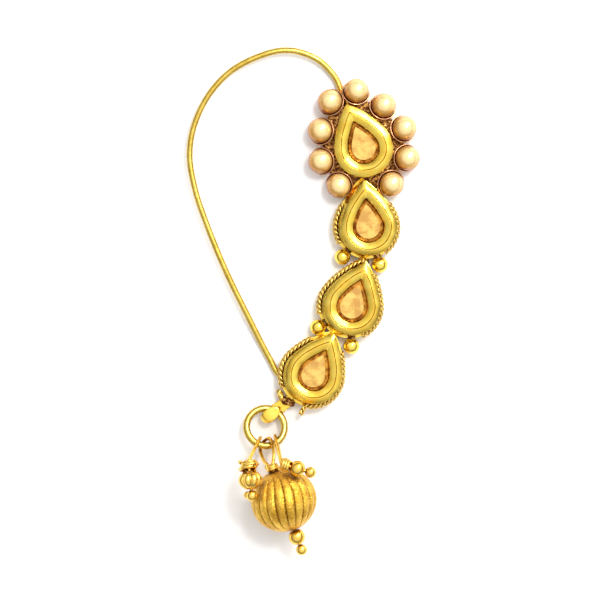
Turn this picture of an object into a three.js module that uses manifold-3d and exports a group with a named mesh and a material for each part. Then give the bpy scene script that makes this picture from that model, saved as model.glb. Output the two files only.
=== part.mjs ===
// Nath nose ring, lying flat on its back: a springy wire loop, a flower of nine pearls round a
// teardrop stone, three more teardrop settings with roped edges, and a jump ring with three drops.
// Millimetres. +X is right, +Y is up the jewel towards the flower, +Z is away from the surface.

import * as THREE from 'three';
import { mergeVertices } from 'three/addons/utils/BufferGeometryUtils.js';
import Module from 'manifold-3d';

const wasm = await Module();
wasm.setup();

// Stones: a round end, two long side arcs and a point, cut with a table and a ring of facets
const stoneRadius = 1.8;
const stoneTip = 3.3;
const stoneSideRadius = 9;
const stoneHeight = 0.9;
const stoneCrown = 0.42;
const crownWidth = 0.5;
const culetInset = 0.7;

// Settings: a roof shaped bezel with a fine groove along its ridge, on a base with a flange
const innerBand = 0.72;
const grooveWidth = 0.12;
const grooveDepth = 0.13;
const outerBand = 0.76;
const innerSlope = 0.4;
const outerSlope = 0.42;
const bandEdge = 0.16;
const wallInset = 0.25;
const wallSlope = 0.12;
const stoneSink = 0.05;
const girdleBand = 0.08;
const topLean = 0.2;
const flangeFloor = 0.1;

// Clearances between pieces
const stoneFit = 0.1;
const pearlFit = 0.11;
const wireFit = 0.12;
const ropeFit = 0.1;
const pieceGap = 0.12;
const boreFit = 0.1;

// Chain of settings
const tipGap = 0.3;
const granuleRadius = 0.95;
const granuleGap = 0.27;
const granuleAngle = 29;
const granuleLift = 0.15;
const stubRadius = 0.45;
const stubRoot = 2.45;
const stubDrop = 0.29;
const jointRadius = 0.45;
const jointRoot = 1;

// Roped edges: two rows of twisted wire, the lower one a step further out
const ropeRadius = 0.3;
const ropeRowGap = 0.02;
const ropeStep = 0.15;
const ropeTail = 1.1;

// Flower of pearls, so many seats on each side of the tip
const pearlsPerSide = 5;
const pearlDiameter = 2.95;
const pearlProud = 0.44;
const cupWall = 0.12;
const cupTilt = 27;
const cupGap = 0.12;
const cupToBezel = 0.1;
const cupLift = 0.15;
const tipSpread = 0.3;
const plateHeight = 0.5;
const plateInset = 0.33;

// Nose wire
const wireDiameter = 0.75;
const wireLift = 0.06;
const loopWidth = 18.8;
const loopRise = 0.9;

// Bail and jump ring
const bailWidth = 1.6;
const bailNeck = 1.3;
const bailThickness = 0.35;
const bailRoot = 0.9;
const bailLength = 4.67;
const bailReturn = 2.55;
const bailSlack = 1.16;
const bailHeading = 217;
const bailOffset = 0.7;
const bailLift = 0.06;
const bailPlay = 0.18;
const bailPress = 0.33;
const ringRadius = 2.28;
const ringWire = 0.85;
const ringHeading = 239;
const ringTilt = 15;

// Drops on the jump ring
const pinWire = 0.42;
const eyeGap = 0.15;
const coilRadius = 0.62;
const melonDiameter = 7.9;
const melonLength = 7.4;
const melonFlutes = 20;
const melonGroove = 0.18;
const melonTwistAngle = 18;
const middleReach = 3.06;
const flutedDiameter = 2.9;
const flutedLength = 2.3;
const flutedLobes = 8;
const flutedGroove = 0.23;
const plainDiameter = 1.9;
const spacerDiameter = 1.96;
const beadLip = 0.19;
const headDiameter = 1.34;
const grainDiameter = 0.86;
const leanGap = 0.15;

// Facets of the round pieces
const beadSides = 14;
const cupSides = 12;
const wireSides = 6;
const granuleSides = 10;
const sideSteps = 4;
const roundSteps = 14;
const wireSteps = 72;
const ropeSamples = 90;
const ropeEvery = 6;

// Each setting: turn of its tip from +Y, the way to its tip from the one before, and the gap there
// in shares of tipGap
const chain = [
  { turn: 21.6 },
  { turn: 5.5, towards: 270, gap: 1 },
  { turn: -17.9, towards: 266.7, gap: 2.3 },
  { turn: -26.6, towards: 236.6, gap: 1 },
];

// Route of the nose wire: along is the share of the line between its two ends, out the share of
// loopWidth and rise the share of loopRise. Between the ends it is the loop that the nose sits in.
const wireEnds = {
  flower: { right: 0.12, tipward: 0.62 },
  last: { right: -0.3, tipward: -0.42 },
};
const wireRoute = [
  { along: -0.071, out: 0.095, rise: 0 },
  { along: -0.1, out: 0.135, rise: 0 },
  { along: -0.14, out: 0.186, rise: 0.08 },
  { along: -0.187, out: 0.301, rise: 0.3 },
  { along: -0.204, out: 0.421, rise: 0.45 },
  { along: -0.201, out: 0.524, rise: 0.6 },
  { along: -0.175, out: 0.639, rise: 0.75 },
  { along: -0.089, out: 0.832, rise: 0.9 },
  { along: 0.018, out: 0.946, rise: 1 },
  { along: 0.147, out: 1, rise: 1 },
  { along: 0.26, out: 0.988, rise: 1 },
  { along: 0.38, out: 0.908, rise: 1 },
  { along: 0.489, out: 0.799, rise: 0.95 },
  { along: 0.649, out: 0.613, rise: 0.8 },
  { along: 0.807, out: 0.402, rise: 0.4 },
  { along: 0.937, out: 0.221, rise: 0 },
  { along: 0.991, out: 0.133, rise: 0 },
];

// The three drops: where each hangs on the ring, the way its pin points and climbs, how its wire loop
// rolls, and where the small beads lean on the melon bead
const drops = {
  left: { ringAngle: 243, heading: 276, climb: 4, roll: 0, azimuth: 147, elevation: 32 },
  middle: { ringAngle: 270, swing: 287.6, heading: 289.6, climb: -3, roll: 35 },
  right: { ringAngle: 306, heading: 343.5, climb: -2, roll: 12, azimuth: 67.5, elevation: 33 },
};

// Way of the left pin's grain from its head: turned on plan from the pin's heading, and its climb
const grainWay = { turn: 105, climb: -30 };

const dropGrow = stoneFit + innerBand + grooveWidth + outerBand;
const dropRadius = stoneRadius + dropGrow;
const wallGrow = dropGrow - wallInset;
const ropeGrow = wallGrow + ropeFit + ropeRadius + ropeStep / 2;
const ropeHalfWidth = ropeRadius + ropeStep / 2;
const flangeGrow = ropeGrow + ropeStep / 2;
const wireRadius = wireDiameter / 2;
const wireHeight = wireLift + wireRadius;
const channelTop = wireHeight + wireRadius + wireFit;
const flangeHeight = channelTop + flangeFloor;
const ropeTop = flangeHeight + ropeFit + 4 * ropeRadius + ropeRowGap;
const wallTop = ropeTop + ropeFit;
const bezelEdge = wallTop + wallSlope;
const settingHeight = bezelEdge + bandEdge + outerSlope;
const seatFloor = settingHeight - innerSlope - stoneSink - stoneHeight - pieceGap;
const pearlRadius = pearlDiameter / 2;
const cupInner = pearlRadius + pearlFit;
const cupOuter = cupInner + cupWall;
const rimRadius = Math.sqrt(cupOuter ** 2 - pearlProud ** 2);
const pearlHeight = cupOuter + cupLift;
const melonRadius = melonDiameter / 2;

function radians(degrees) {
  return THREE.MathUtils.degToRad(degrees);
}

function heading(degrees) {
  return new THREE.Vector3(Math.cos(radians(degrees)), Math.sin(radians(degrees)), 0);
}

// Solids and meshes

function weld(geometry) {
  const bare = geometry.clone();
  bare.deleteAttribute('normal');
  bare.deleteAttribute('uv');
  const merged = mergeVertices(bare, 1e-4);
  const index = merged.index.array;
  const kept = [];
  for (let i = 0; i < index.length; i += 3) {
    const [a, b, c] = [index[i], index[i + 1], index[i + 2]];
    if (a !== b && b !== c && c !== a) kept.push(a, b, c);
  }
  merged.setIndex(kept);
  merged.computeVertexNormals();
  return merged;
}

function toSolid(geometry) {
  const welded = weld(geometry);
  return new wasm.Manifold(new wasm.Mesh({
    numProp: 3,
    vertProperties: new Float32Array(welded.attributes.position.array),
    triVerts: new Uint32Array(welded.index.array),
  }));
}

function fromSolid(solid) {
  const mesh = solid.getMesh();
  const geometry = new THREE.BufferGeometry();
  geometry.setAttribute('position', new THREE.BufferAttribute(new Float32Array(mesh.vertProperties), 3));
  geometry.setIndex(Array.from(mesh.triVerts));
  geometry.computeVertexNormals();
  return geometry;
}

function joinAll(geometries) {
  return geometries.map(toSolid).reduce((whole, next) => whole.add(next));
}

// The teardrop outline, grown outwards from the stone's edge; it starts at the tip and runs clockwise

function dropOutline(grow) {
  const offset = stoneSideRadius - stoneRadius;
  const cosTangent = (2 * stoneSideRadius * stoneRadius - stoneRadius ** 2 - stoneTip ** 2)
    / (2 * stoneTip * offset);
  const tangent = Math.acos(cosTangent);
  const radius = stoneRadius + grow;
  const side = stoneSideRadius + grow;
  const centre = new THREE.Vector2(-offset * Math.sin(tangent), -offset * Math.cos(tangent));
  const start = Math.asin(-centre.x / side);
  const right = [];
  for (let i = 0; i < sideSteps; i += 1) {
    const angle = start + (tangent - start) * (i / sideSteps);
    right.push(new THREE.Vector2(Math.sin(angle), Math.cos(angle)).multiplyScalar(side).add(centre));
  }
  const round = [];
  for (let i = 0; i <= roundSteps; i += 1) {
    const angle = tangent + (2 * Math.PI - 2 * tangent) * (i / roundSteps);
    round.push(new THREE.Vector2(radius * Math.sin(angle), radius * Math.cos(angle)));
  }
  const left = right.slice(1).reverse().map((point) => new THREE.Vector2(-point.x, point.y));
  return [...right, ...round, ...left];
}

// A solid lofted through teardrop rows, from the middle of its underside to the middle of its top

function loftRows(rows, shift = new THREE.Vector2()) {
  const rings = rows.map((row) => dropOutline(row.grow).map((point) => {
    const lean = row.lean ?? 0;
    return new THREE.Vector3(point.x + shift.x * lean, point.y + shift.y * lean, row.z);
  }));
  const count = rings[0].length;
  const first = new THREE.Vector3(0, 0, rows[0].z);
  const last = new THREE.Vector3(0, 0, rows[rows.length - 1].z);
  const positions = [first, ...rings.flat(), last].flatMap((point) => point.toArray());
  const lastIndex = rings.length * count + 1;
  const index = [];
  for (let i = 0; i < count; i += 1) {
    const next = (i + 1) % count;
    index.push(0, 1 + i, 1 + next);
    for (let r = 0; r < rings.length - 1; r += 1) {
      const low = 1 + r * count;
      const high = low + count;
      index.push(low + i, high + i, high + next, low + i, high + next, low + next);
    }
    index.push(lastIndex, lastIndex - count + next, lastIndex - count + i);
  }
  const geometry = new THREE.BufferGeometry();
  geometry.setAttribute('position', new THREE.Float32BufferAttribute(positions, 3));
  geometry.setIndex(index);
  return geometry;
}

// Round pieces: a profile turned about Z, a ball, and a wire along a curve

function turned(profile, sides) {
  const points = profile.map(([radius, height]) => new THREE.Vector2(radius, height));
  return new THREE.LatheGeometry(points, sides).rotateX(Math.PI / 2);
}

function ball(radius, sides = beadSides) {
  return new THREE.SphereGeometry(radius, sides, Math.round(sides / 2)).rotateX(Math.PI / 2);
}

function wireAlong(curve, radius, steps, sides = wireSides) {
  const section = new THREE.Shape();
  for (let i = 0; i < sides; i += 1) {
    const angle = (2 * Math.PI * (i + 0.5)) / sides;
    const point = [radius * Math.cos(angle), radius * Math.sin(angle)];
    if (i === 0) section.moveTo(...point);
    else section.lineTo(...point);
  }
  section.closePath();
  return new THREE.ExtrudeGeometry(section, { steps, extrudePath: curve, bevelEnabled: false });
}

// Turns geometry that points along +Z to point along an axis, and moves it to a place
function aim(geometry, place, axis, spin = 0) {
  const turn = new THREE.Quaternion().setFromUnitVectors(new THREE.Vector3(0, 0, 1), axis);
  return geometry.rotateZ(spin).applyQuaternion(turn).translate(place.x, place.y, place.z);
}

// Places of the four settings, each in a frame of its own with +Y towards its tip

function settingFrames() {
  const tipReach = dropOutline(dropGrow)[0].y;
  const frames = [];
  chain.forEach((row, i) => {
    const tipWay = heading(90 + row.turn);
    const place = new THREE.Vector3();
    if (i > 0) {
      const reach = dropRadius + tipGap * row.gap;
      place.copy(frames[i - 1].place);
      place.addScaledVector(heading(row.towards), reach);
      place.addScaledVector(tipWay, -tipReach);
    }
    const turn = new THREE.Matrix4().makeRotationZ(radians(row.turn));
    frames.push({ place, tipWay, matrix: turn.setPosition(place), turn: row.turn });
  });
  return frames;
}

const frames = settingFrames();
const flower = frames[0];
const lastDrop = frames[frames.length - 1];

function inFrame(frame, right, tipward, z = 0) {
  return new THREE.Vector3(right, tipward, z).applyMatrix4(frame.matrix);
}

// Half of a teardrop outline, from its tip to the middle of its round end, as a path
function halfPath(grow) {
  const half = dropOutline(grow).slice(0, sideSteps + roundSteps / 2 + 1);
  const path = new THREE.CurvePath();
  for (let i = 0; i < half.length - 1; i += 1) path.add(new THREE.LineCurve(half[i], half[i + 1]));
  return path;
}

// Pearl seats: evenly pitched along an outline round the first setting, close to its bezel, or as
// far out as the cups need to stand side by side. The seat that faces the next setting is left out.

function seatOutline() {
  const close = dropGrow + cupToBezel + rimRadius + pearlProud * Math.sin(radians(cupTilt));
  const needed = pearlsPerSide * (2 * rimRadius + cupGap);
  const short = Math.max(0, needed - halfPath(close).getLength());
  return close + short / (halfPath(close + 1).getLength() - halfPath(close).getLength());
}

const seatGrow = seatOutline();

function pearlSeats() {
  const path = halfPath(seatGrow);
  const length = path.getLength();
  const nextWay = heading(chain[1].towards);
  const found = [];
  for (const side of [1, -1]) {
    for (let i = 0; i < pearlsPerSide; i += 1) {
      const share = (i + 0.5) / pearlsPerSide + tipSpread / length;
      const point = path.getPointAt(share);
      const tangent = path.getTangentAt(share);
      const outward = new THREE.Vector3(-tangent.y * side, tangent.x, 0)
        .applyAxisAngle(new THREE.Vector3(0, 0, 1), radians(flower.turn));
      const place = inFrame(flower, point.x * side, point.y, pearlHeight);
      const facing = place.clone().setZ(0).normalize().dot(nextWay);
      found.push({ place, outward, facing });
    }
  }
  const facesNext = Math.max(...found.map((seat) => seat.facing));
  return found.filter((seat) => seat.facing < facesNext);
}

const seats = pearlSeats();

function cupAxis(seat) {
  const tilt = radians(cupTilt);
  return seat.outward.clone().multiplyScalar(Math.sin(tilt)).setZ(Math.cos(tilt));
}

// The outside of a cup, filled up to its rim; the room for the pearl is cut out of it later
function cupBlank() {
  const rim = Math.asin(pearlProud / cupOuter);
  const steps = 3;
  const profile = [[0, -cupOuter]];
  for (let i = 1; i <= steps; i += 1) {
    const angle = -Math.PI / 2 + (Math.PI / 2 - rim) * (i / steps);
    profile.push([cupOuter * Math.cos(angle), cupOuter * Math.sin(angle)]);
  }
  profile.push([0, -pearlProud]);
  return turned(profile, cupSides);
}

// Granules: a pair beside the joint under each roped setting but the last

function granulePlaces() {
  const places = [];
  for (let i = 1; i < frames.length - 1; i += 1) {
    const from = frames[i].place;
    const to = frames[i + 1].place;
    const joint = THREE.MathUtils.radToDeg(Math.atan2(to.y - from.y, to.x - from.x));
    for (const side of [1, -1]) {
      const way = heading(joint + side * granuleAngle);
      const reach = dropRadius + granuleGap + granuleRadius;
      const place = from.clone().addScaledVector(way, reach).setZ(granuleRadius + granuleLift);
      places.push({ from, way, reach, place });
    }
  }
  return places;
}

const granules = granulePlaces();

// Nose wire

function wireCurve() {
  const tip = dropOutline(dropGrow)[0].y;
  const ends = wireEnds;
  const start = inFrame(flower, ends.flower.right * dropRadius, ends.flower.tipward * tip, wireHeight);
  const end = inFrame(lastDrop, ends.last.right * dropRadius, ends.last.tipward * dropRadius, wireHeight);
  const line = end.clone().sub(start);
  const out = new THREE.Vector3(line.y, -line.x, 0).normalize();
  const points = wireRoute.map((row) => {
    const point = start.clone().addScaledVector(line, row.along);
    point.addScaledVector(out, row.out * loopWidth);
    return point.setZ(wireHeight + row.rise * loopRise);
  });
  return new THREE.CatmullRomCurve3([start, ...points, end], false, 'centripetal');
}

const noseCurve = wireCurve();

function wireChannel() {
  const radius = (wireRadius + wireFit) / Math.cos(Math.PI / wireSides);
  const tube = toSolid(wireAlong(noseCurve, radius, wireSteps));
  return [noseCurve.getPointAt(0), noseCurve.getPointAt(1)].reduce((whole, point) => {
    const cap = ball(radius + wireFit, 8).translate(point.x, point.y, point.z);
    return whole.add(toSolid(cap));
  }, tube);
}

// Bail: a strap bent into a hairpin round the jump ring. Its way runs past the middle of the last
// setting at bailOffset. The fold and the free end are rounded, and the free end is pressed down.

const bailWay = heading(bailHeading);
const bailSide = new THREE.Vector3(-bailWay.y, bailWay.x, 0);
const bailEnd = dropRadius + bailLength;
const bailStart = dropRadius - bailRoot;
const foldInner = ringWire / 2 + bailPlay;
const foldOuter = foldInner + bailThickness;
const foldHeight = bailLift + foldOuter;
const ringCross = bailEnd - bailThickness - bailSlack - ringWire / 2;

function alongBail(distance) {
  return lastDrop.place.clone().addScaledVector(bailWay, distance).addScaledVector(bailSide, bailOffset);
}

function bailProfile() {
  const bend = bailEnd - foldOuter;
  const free = bailEnd - bailReturn;
  const pressed = ringCross - ringWire / 2;
  const shape = new THREE.Shape();
  shape.moveTo(bailStart, bailLift);
  shape.lineTo(bend, bailLift);
  shape.absarc(bend, foldHeight, foldOuter, -Math.PI / 2, Math.PI / 2, false);
  shape.lineTo(pressed, foldHeight + foldOuter);
  shape.lineTo(free, foldHeight + foldOuter - bailPress);
  shape.lineTo(free, foldHeight + foldInner - bailPress);
  shape.lineTo(pressed, foldHeight + foldInner);
  shape.lineTo(bend, foldHeight + foldInner);
  shape.absarc(bend, foldHeight, foldInner, Math.PI / 2, -Math.PI / 2, true);
  shape.lineTo(bailStart, bailLift + bailThickness);
  shape.closePath();
  return shape;
}

// One layer of the strap seen from above: a rounded fold, and a rounded free end or a narrower neck
function bailPlan(rounded) {
  const half = bailWidth / 2;
  const shape = new THREE.Shape();
  shape.absarc(bailEnd - half, 0, half, -Math.PI / 2, Math.PI / 2, false);
  if (rounded) {
    shape.absarc(bailEnd - bailReturn + half, 0, half, Math.PI / 2, (3 * Math.PI) / 2, false);
  } else {
    shape.lineTo(ringCross, half);
    shape.lineTo(bailStart, bailNeck / 2);
    shape.lineTo(bailStart, -bailNeck / 2);
    shape.lineTo(ringCross, -half);
  }
  shape.closePath();
  return shape;
}

function bailStrap() {
  const options = { steps: 1, bevelEnabled: false, curveSegments: 6 };
  const fold = new THREE.ExtrudeGeometry(bailProfile(), { depth: bailWidth, ...options })
    .translate(0, 0, -bailWidth / 2).rotateX(Math.PI / 2);
  const [lower, upper] = [false, true].map((rounded) => toSolid(
    new THREE.ExtrudeGeometry(bailPlan(rounded), { depth: foldHeight, ...options })
      .translate(0, 0, rounded ? foldHeight : 0)));
  const turn = new THREE.Matrix4().makeRotationZ(radians(bailHeading)).setPosition(alongBail(0));
  return fromSolid(toSolid(fold).intersect(lower.add(upper))).applyMatrix4(turn);
}

// The soldered frame: four settings on their bases, nine cups on the flower's plate, the granules
// with their stubs and the bail, cut underneath by the channel that the nose wire lies in

function bezelRows() {
  const top = settingHeight;
  const grooveGrow = stoneFit + innerBand;
  return [
    { grow: dropGrow, z: top - outerSlope },
    { grow: grooveGrow + grooveWidth, z: top },
    { grow: grooveGrow + grooveWidth / 2, z: top - grooveDepth },
    { grow: grooveGrow, z: top },
    { grow: stoneFit, z: top - innerSlope },
    { grow: stoneFit, z: seatFloor },
  ];
}

function setting(frame, i) {
  const shift = new THREE.Vector2(-topLean, 0).rotateAround(new THREE.Vector2(), -radians(frame.turn));
  const base = i === 0
    ? [{ grow: wallGrow, z: 0 }]
    : [
      { grow: flangeGrow, z: 0, lean: 1 },
      { grow: flangeGrow, z: flangeHeight, lean: 1 },
      { grow: wallGrow, z: flangeHeight, lean: 1 },
    ];
  const rows = [...base, { grow: wallGrow, z: wallTop, lean: i === 0 ? 0 : 1 },
    { grow: dropGrow, z: bezelEdge }, ...bezelRows()];
  return loftRows(rows, shift).applyMatrix4(frame.matrix);
}

function flowerPlate() {
  const grow = seatGrow - plateInset;
  return loftRows([{ grow, z: 0 }, { grow, z: plateHeight }]).applyMatrix4(flower.matrix);
}

function granuleStub({ from, way, reach }) {
  const height = granuleRadius + granuleLift;
  const rod = new THREE.CylinderGeometry(stubRadius, stubRadius, reach - stubRoot, granuleSides)
    .translate(0, (reach + stubRoot) / 2, 0);
  const turn = Math.atan2(way.y, way.x) - Math.PI / 2;
  return rod.rotateZ(turn).translate(from.x, from.y, height - stubDrop);
}

// A bar under the ropes joins each setting to the base under the tip of the next
function settingJoint(i) {
  const upper = frames[i].place;
  const lower = frames[i + 1];
  const from = upper.clone().addScaledVector(heading(chain[i + 1].towards), dropRadius - jointRoot);
  const tip = lower.place.clone().addScaledVector(lower.tipWay, dropOutline(dropGrow)[0].y - jointRoot);
  const line = tip.clone().sub(from);
  const bar = new THREE.CylinderGeometry(jointRadius, jointRadius, line.length(), granuleSides)
    .rotateX(Math.PI / 2);
  const middle = from.add(tip).multiplyScalar(0.5).setZ(flangeHeight - jointRadius);
  return aim(bar, middle, line.normalize());
}

function settingFrame() {
  const cups = seats.map((seat) => aim(cupBlank(), seat.place, cupAxis(seat)));
  const balls = granules.map(({ place }) => ball(granuleRadius, granuleSides)
    .translate(place.x, place.y, place.z));
  const whole = joinAll([
    ...frames.map(setting), ...frames.slice(1).map((frame, i) => settingJoint(i)), flowerPlate(),
    ...cups, ...balls, ...granules.map(granuleStub), bailStrap(),
  ]);
  const pearlRoom = seats.map((seat) => aim(ball(cupInner, cupSides), seat.place, cupAxis(seat)));
  return fromSolid(whole.subtract(wireChannel()).subtract(joinAll(pearlRoom)));
}

// Stones

function cutStone() {
  const table = -crownWidth;
  const girdle = seatFloor + pieceGap + stoneHeight - stoneCrown;
  return loftRows([
    { grow: -culetInset, z: seatFloor + pieceGap },
    { grow: 0, z: girdle - girdleBand },
    { grow: 0, z: girdle },
    { grow: table, z: girdle + stoneCrown },
  ]);
}

// Roped edges: one down each side of a roped setting, trimmed where a neighbour is near

function ropeObstacles(frame) {
  const cups = seats.map((seat) => ({ place: seat.place, radius: cupOuter }));
  const balls = granules.map(({ place }) => ({ place, radius: granuleRadius }));
  const tipMiddle = dropOutline(dropGrow)[0].y - wallInset;
  const others = frames.filter((other) => other !== frame).flatMap((other) => [
    { place: other.place, radius: dropRadius },
    { place: other.place.clone().addScaledVector(other.tipWay, tipMiddle), radius: wallInset },
  ]);
  const strap = [bailStart, dropRadius, ringCross, bailEnd].map((distance) => (
    { place: alongBail(distance), radius: bailWidth / 2 }));
  return [...cups, ...balls, ...others, ...strap];
}

// The longest run of samples of the rope's path that is clear of its neighbours
function clearRun(frame, side) {
  const path = halfPath(ropeGrow);
  const height = flangeHeight + ropeFit + 2 * ropeRadius + ropeRowGap / 2;
  const obstacles = ropeObstacles(frame);
  let run = [];
  let longest = [];
  for (let i = 1; i <= ropeSamples; i += 1) {
    const local = path.getPointAt(i / ropeSamples);
    const point = inFrame(frame, local.x * side, local.y, height);
    point.x -= topLean;
    const clear = obstacles.every(({ place, radius }) => (
      Math.hypot(point.x - place.x, point.y - place.y) >= radius + ropeHalfWidth + pieceGap));
    run = clear ? [...run, point] : [];
    if (run.length > longest.length) longest = run;
  }
  return longest;
}

function ropePath(frame, side) {
  const run = clearRun(frame, side);
  const kept = run.filter((point, i) => i % ropeEvery === 0 && i < run.length - ropeEvery / 2);
  const end = run[run.length - 1];
  if (frame !== lastDrop || side < 0) return new THREE.CatmullRomCurve3([...kept, end]);
  const away = end.clone().sub(frame.place).setZ(0).normalize();
  const bent = end.clone().addScaledVector(away, ropeRadius);
  const tail = end.clone().addScaledVector(away, ropeTail);
  return new THREE.CatmullRomCurve3([...kept, bent, tail]);
}

function ropeSection(side) {
  const row = ropeRadius + ropeRowGap / 2;
  const out = (side * ropeStep) / 2;
  const lobe = [-120, -72, -24, 24, 72, 120].map((angle) => new THREE.Vector2(
    row + ropeRadius * Math.cos(radians(angle)), out + ropeRadius * Math.sin(radians(angle))));
  return new THREE.Shape([...lobe, ...lobe.map((point) => point.clone().negate())]);
}

function rope(frame, side) {
  const extrudePath = ropePath(frame, side);
  const steps = Math.round(extrudePath.getLength() / (2 * ropeRadius));
  return new THREE.ExtrudeGeometry(ropeSection(side), { steps, extrudePath, bevelEnabled: false });
}

// Jump ring, tilted so that the side with the drops is raised

const ringWay = heading(ringHeading);
const ringTurn = new THREE.Quaternion().setFromAxisAngle(
  new THREE.Vector3(ringWay.y, -ringWay.x, 0), radians(ringTilt));
const ringCentre = alongBail(ringCross).setZ(foldHeight)
  .addScaledVector(ringWay.clone().applyQuaternion(ringTurn), ringRadius);

function ringPoint(angle) {
  return heading(angle).applyQuaternion(ringTurn).multiplyScalar(ringRadius).add(ringCentre);
}

function ringTangent(angle) {
  return heading(angle + 90).applyQuaternion(ringTurn);
}

// Beads, each bored for its pin

const pinRadius = pinWire / 2;
const boreRadius = pinRadius + boreFit;

// Angle from a bead's middle plane to the flat lip round its bore, and the reach to that lip
function lipAngle(diameter) {
  return Math.acos((boreRadius + beadLip) / (diameter / 2));
}

function beadReach(diameter, length) {
  return (length / 2) * Math.sin(lipAngle(diameter));
}

function boredBead(diameter, length, sides, columnSteps = 6) {
  const edge = lipAngle(diameter);
  const reach = beadReach(diameter, length);
  const profile = [[boreRadius, -reach]];
  for (let i = 0; i <= columnSteps; i += 1) {
    const angle = -edge + 2 * edge * (i / columnSteps);
    profile.push([(diameter / 2) * Math.cos(angle), (length / 2) * Math.sin(angle)]);
  }
  profile.push([boreRadius, reach], [boreRadius, -reach]);
  return turned(profile, sides);
}

// Cuts flutes into a bead: the sides are drawn in between its ribs, in shares of their radius, and
// turned by twist from one end to the other. The bore stays round.
function flute(geometry, count, share, twist) {
  const position = geometry.attributes.position;
  const point = new THREE.Vector3();
  const length = new THREE.Box3().setFromBufferAttribute(position).getSize(new THREE.Vector3()).z;
  for (let i = 0; i < position.count; i += 1) {
    point.fromBufferAttribute(position, i);
    const radius = Math.hypot(point.x, point.y);
    if (radius < boreRadius + beadLip / 2) continue;
    const around = Math.atan2(point.y, point.x);
    const groove = (1 - Math.cos(around * count)) / 2;
    const drawn = radius * (1 - share * groove);
    const turn = around + twist * (point.z / length);
    position.setXYZ(i, drawn * Math.cos(turn), drawn * Math.sin(turn), point.z);
  }
  return geometry;
}

function melonBead() {
  const blank = boredBead(melonDiameter, melonLength, melonFlutes * 2, 8);
  return flute(blank, melonFlutes, melonGroove / melonRadius, radians(melonTwistAngle));
}

function flutedBead() {
  const blank = boredBead(flutedDiameter, flutedLength, flutedLobes * 2);
  return flute(blank, flutedLobes, (2 * flutedGroove) / flutedDiameter, 0);
}

// Pins: a wire loop round the jump ring, a wrapped coil, a shaft through the bead and a round head

function coil(turns) {
  const profile = [[0, 0]];
  for (let i = 0; i < turns; i += 1) {
    const middle = (i + 0.5) * pinWire;
    profile.push([coilRadius, middle - pinRadius], [coilRadius + pinRadius, middle - pinRadius / 2]);
    profile.push([coilRadius + pinRadius, middle + pinRadius / 2], [coilRadius, middle + pinRadius]);
  }
  profile.push([0, turns * pinWire]);
  return turned(profile, cupSides);
}

// The loop's route: reach is the share of the way from the pin to the ring's wire, past the share of
// the clearance beyond it, and out the share of the loop's half width
const eyeRoute = [
  { reach: 0, past: 0, out: 0.25 },
  { reach: 0.4, past: 0, out: 0.85 },
  { reach: 1, past: 0, out: 1 },
  { reach: 1, past: 0.75, out: 0.75 },
  { reach: 1, past: 1, out: 0 },
  { reach: 1, past: 0.75, out: -0.75 },
  { reach: 1, past: 0, out: -1 },
  { reach: 0.4, past: 0, out: -0.85 },
  { reach: 0, past: 0, out: -0.25 },
];

function eye(base, ringAngle, roll) {
  const line = ringPoint(ringAngle).sub(base);
  const along = line.clone().normalize();
  const across = ringTangent(ringAngle).cross(along).normalize().applyAxisAngle(along, radians(roll));
  const clear = ringWire / 2 + pinRadius + eyeGap;
  const halfWidth = (clear + eyeGap / 4) / Math.cos(radians(roll));
  const route = eyeRoute.map((row) => base.clone()
    .addScaledVector(line, row.reach)
    .addScaledVector(along, row.past * clear)
    .addScaledVector(across, row.out * halfWidth));
  return wireAlong(new THREE.CatmullRomCurve3(route, false, 'centripetal'), pinRadius, 26);
}

function pin({ place, axis, bead, stack = 0, turns, ringAngle, roll, extra = [] }) {
  const headRadius = headDiameter / 2;
  const coilLength = turns * pinWire;
  const coilStart = -(bead + pieceGap + coilLength);
  const shaftStart = coilStart + coilLength / 2;
  const headAt = bead + stack + pieceGap + headRadius;
  const shaft = new THREE.CylinderGeometry(pinRadius, pinRadius, headAt - shaftStart, granuleSides)
    .rotateX(Math.PI / 2).translate(0, 0, (headAt + shaftStart) / 2);
  const head = ball(headRadius, cupSides).translate(0, 0, headAt);
  const parts = [shaft, head, coil(turns).translate(0, 0, coilStart)];
  const aimed = parts.map((part) => aim(part, place, axis));
  const base = place.clone().addScaledVector(axis, coilStart + pinRadius);
  return fromSolid(joinAll([...aimed, eye(base, ringAngle, roll), ...extra]));
}

function climbing(degrees, climb) {
  const tilt = radians(climb);
  return heading(degrees).multiplyScalar(Math.cos(tilt)).setZ(Math.sin(tilt));
}

const middleAxis = climbing(drops.middle.heading, drops.middle.climb);
const melonPlace = ringPoint(drops.middle.ringAngle)
  .addScaledVector(heading(drops.middle.swing), middleReach)
  .addScaledVector(heading(drops.middle.heading), melonLength / 2).setZ(melonRadius);

// A small bead leans on the melon bead, at an azimuth and an elevation from its middle
function leaning(drop, diameter) {
  const way = climbing(drop.azimuth, drop.elevation);
  return melonPlace.clone().addScaledVector(way, melonRadius + diameter / 2 + leanGap);
}

const flutedPlace = leaning(drops.left, flutedDiameter);
const plainPlace = leaning(drops.right, plainDiameter);
const flutedAxis = climbing(drops.left.heading, drops.left.climb);
const plainAxis = climbing(drops.right.heading, drops.right.climb);
const melonReach = beadReach(melonDiameter, melonLength);
const flutedReach = beadReach(flutedDiameter, flutedLength);
const plainReach = beadReach(plainDiameter, plainDiameter);
const spacerReach = beadReach(spacerDiameter, spacerDiameter);
const spacerPlace = melonPlace.clone().addScaledVector(middleAxis, melonReach + pieceGap + spacerReach);

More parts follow.
